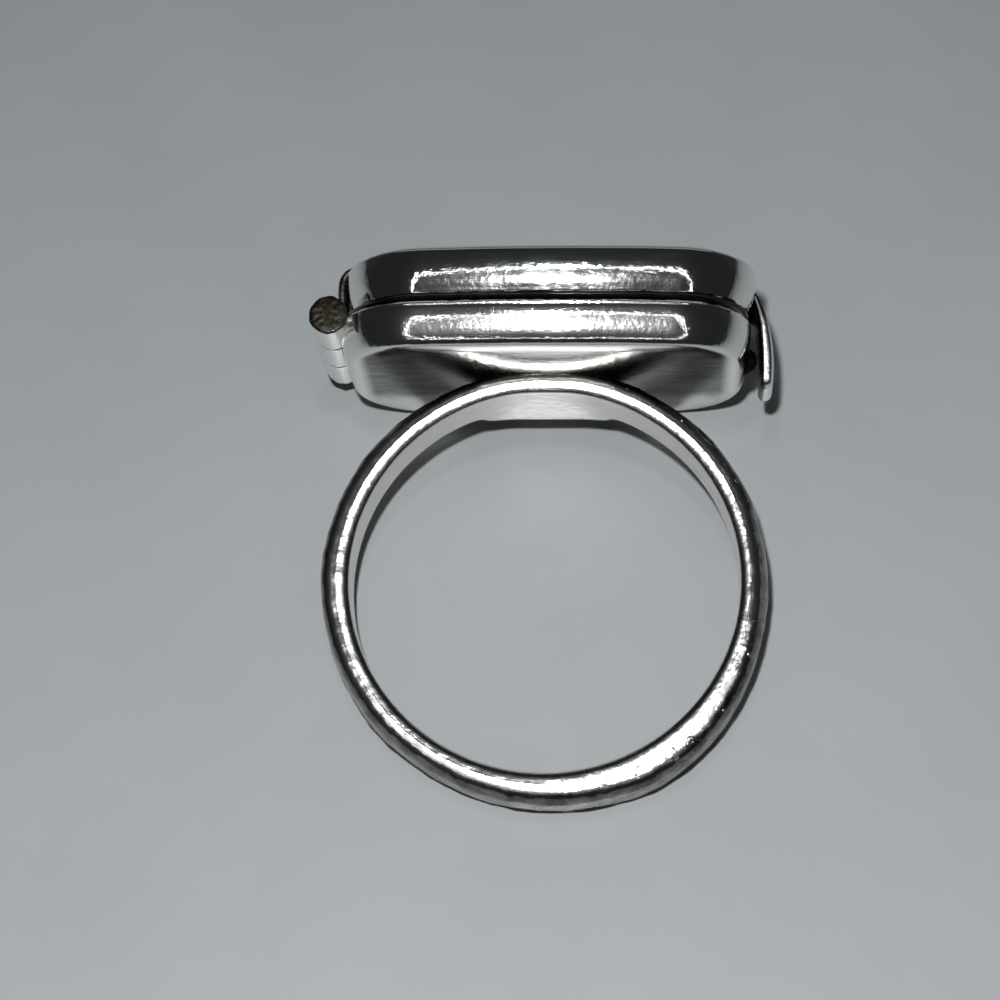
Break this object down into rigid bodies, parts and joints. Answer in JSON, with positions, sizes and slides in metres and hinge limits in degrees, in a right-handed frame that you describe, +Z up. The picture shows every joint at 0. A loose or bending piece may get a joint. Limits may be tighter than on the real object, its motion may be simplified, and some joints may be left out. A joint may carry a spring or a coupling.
{
  "type": "poison ring",
  "caption": "Finger ring with a plain forged band and a closed oblong box whose hinged lid is held by a curved spring tongue.",
  "frame": {"origin": "middle of the finger hole, on its axis", "axes": "+Z up from the surface that the ring lies on, +Y across the finger hole towards the box, +X from the hinge end of the box to the clasp end"},
  "size_m": [0.0208, 0.0249, 0.0118],
  "materials": {
    "silver": "polished sterling silver with fine scratches, dark in the seam and joints",
    "pin_wire": "tarnished silver wire with rough cut ends"
  },
  "bodies": {
    "ring": {"ring_body": "silver", "hinge_pin": "pin_wire"},
    "lid": {"lid": "silver"}
  },
  "joints": [
    {"name": "lid_hinge", "type": "hinge", "parent": "ring", "child": "lid", "pos_m": [-0.0096, 0.01118, 0.00249], "axis": [0, -0.2172, 0.9761], "range_deg": [0, 120]}
  ]
}
